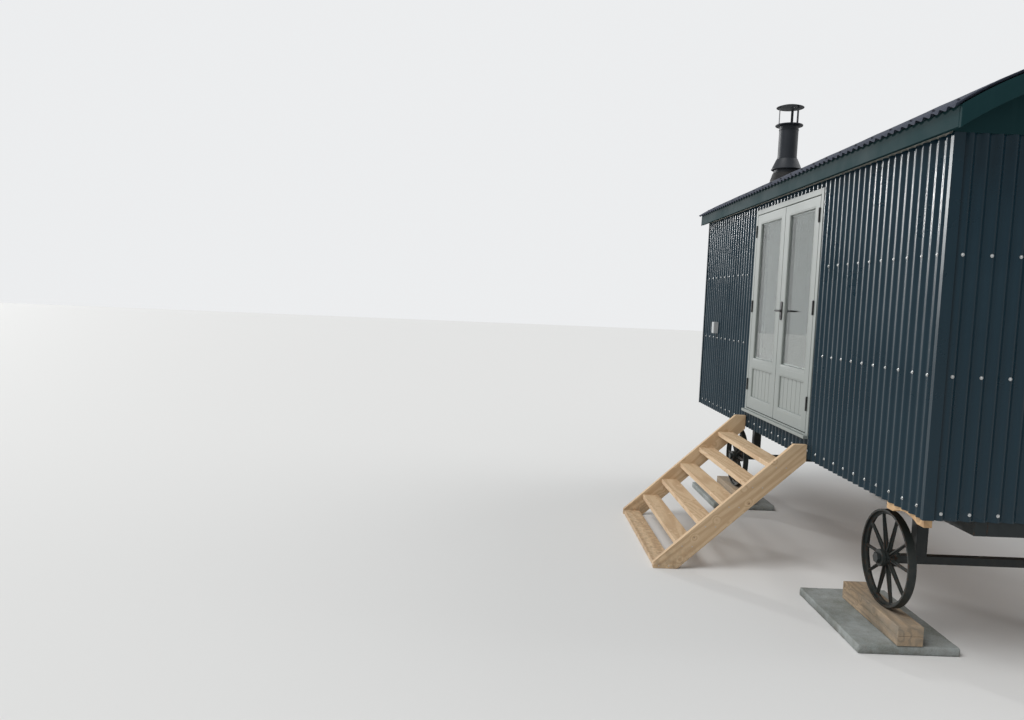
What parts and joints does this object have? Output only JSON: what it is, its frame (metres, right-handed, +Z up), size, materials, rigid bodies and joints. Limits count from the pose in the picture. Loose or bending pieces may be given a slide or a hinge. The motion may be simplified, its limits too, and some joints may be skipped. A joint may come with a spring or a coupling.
{
  "type": "shepherds hut",
  "caption": "Hut on spoked cast wheels with corrugated sides, curved roof, glazed double doors, a flue and a timber stair up to the doors.",
  "frame": {"origin": "centre of the bounding box at ground level, with the stair's feet and the wheel pads on Z = 0", "axes": "+X along the hut towards the right-hand gable, -Y out of the doors and down the stair, +Z up"},
  "size_m": [5.1, 3.535, 3.972],
  "materials": {
    "cladding": "satin",
    "roof_sheet": "satin",
    "dark_paint": "painted satin",
    "door_paint": "painted satin",
    "door_glass": "clear double glazing",
    "wall_boards": "plain boards",
    "floor_boards": "oiled boards",
    "black_metal": "satin black",
    "flue": "matt black",
    "chassis_paint": "matt dark paint",
    "cast_wheel": "painted, lightly rusted",
    "concrete": "weathered concrete",
    "old_timber": "weathered sawn timber",
    "stair_pine": "bare planed pine",
    "bare_timber": "bare sawn timber",
    "grey_box": "smooth moulded plastic"
  },
  "bodies": {
    "hut": {"axle_posts": "chassis_paint", "back_cladding": "cladding", "back_fascia": "dark_paint", "back_wall": "wall_boards", "chassis_rails": "chassis_paint", "corner_bearer": "bare_timber", "corner_flashings": "cladding", "cross_members": "chassis_paint", "door_head": "door_paint", "door_jamb_left": "door_paint", "door_jamb_right": "door_paint", "door_sill": "door_paint", "floor_deck": "floor_boards", "flue_boot": "flue", "flue_cowl": "flue", "flue_pipe": "flue", "flue_skirt": "flue", "front_cladding": "cladding", "front_fascia": "dark_paint", "front_wall_head": "wall_boards", "front_wall_left": "wall_boards", "front_wall_right": "wall_boards", "hinges_on_frame": "black_metal", "left_axle": "chassis_paint", "left_bargeboard": "dark_paint", "left_cladding": "cladding", "left_gable_panel": "dark_paint", "left_wall": "wall_boards", "pad_lower_timbers": "old_timber", "pad_slabs": "concrete", "pad_upper_timbers": "old_timber", "right_axle": "chassis_paint", "right_bargeboard": "dark_paint", "right_cladding": "cladding", "right_gable_panel": "dark_paint", "right_wall": "wall_boards", "roof_boards": "wall_boards", "roof_sheet": "roof_sheet", "stair_treads": "stair_pine", "stringer_left": "stair_pine", "stringer_right": "stair_pine", "wall_box": "grey_box"},
    "left_door": {"left_door_leaf": "door_paint", "left_door_glass": "door_glass", "left_door_panel": "door_paint", "left_door_hinges": "black_metal"},
    "right_door": {"right_door_leaf": "door_paint", "right_door_glass": "door_glass", "right_door_panel": "door_paint", "right_door_hinges": "black_metal", "lever_plate": "black_metal"},
    "door_lever": {"lever_handle": "black_metal"},
    "front_right_wheel": {"wheel_front_right": "cast_wheel"},
    "front_left_wheel": {"wheel_front_left": "cast_wheel"},
    "back_right_wheel": {"wheel_back_right": "cast_wheel"},
    "back_left_wheel": {"wheel_back_left": "cast_wheel"}
  },
  "joints": [
    {"name": "left_door_hinge", "type": "hinge", "parent": "hut", "child": "left_door", "pos_m": [-0.652, -0.695, 1.9], "axis": [0, 0, -1], "range_deg": [0, 150]},
    {"name": "right_door_hinge", "type": "hinge", "parent": "hut", "child": "right_door", "pos_m": [0.752, -0.695, 1.9], "axis": [0, 0, 1], "range_deg": [0, 150]},
    {"name": "lever_turn", "type": "hinge", "parent": "right_door", "child": "door_lever", "pos_m": [0.098, -0.7375, 1.945], "axis": [0, 1, 0], "range_deg": [0, 40], "stiffness_Nm_per_rad": 0.6, "springref_deg": -28.65},
    {"name": "front_right_wheel_turn", "type": "hinge", "parent": "hut", "child": "front_right_wheel", "pos_m": [1.8, -0.5445, 0.4653], "axis": [0, 1, 0], "continuous": true},
    {"name": "front_left_wheel_turn", "type": "hinge", "parent": "hut", "child": "front_left_wheel", "pos_m": [-1.3, -0.5445, 0.4653], "axis": [0, 1, 0], "continuous": true},
    {"name": "back_right_wheel_turn", "type": "hinge", "parent": "hut", "child": "back_right_wheel", "pos_m": [1.8, 1.4695, 0.4653], "axis": [0, 1, 0], "continuous": true},
    {"name": "back_left_wheel_turn", "type": "hinge", "parent": "hut", "child": "back_left_wheel", "pos_m": [-1.3, 1.4695, 0.4653], "axis": [0, 1, 0], "continuous": true}
  ]
}
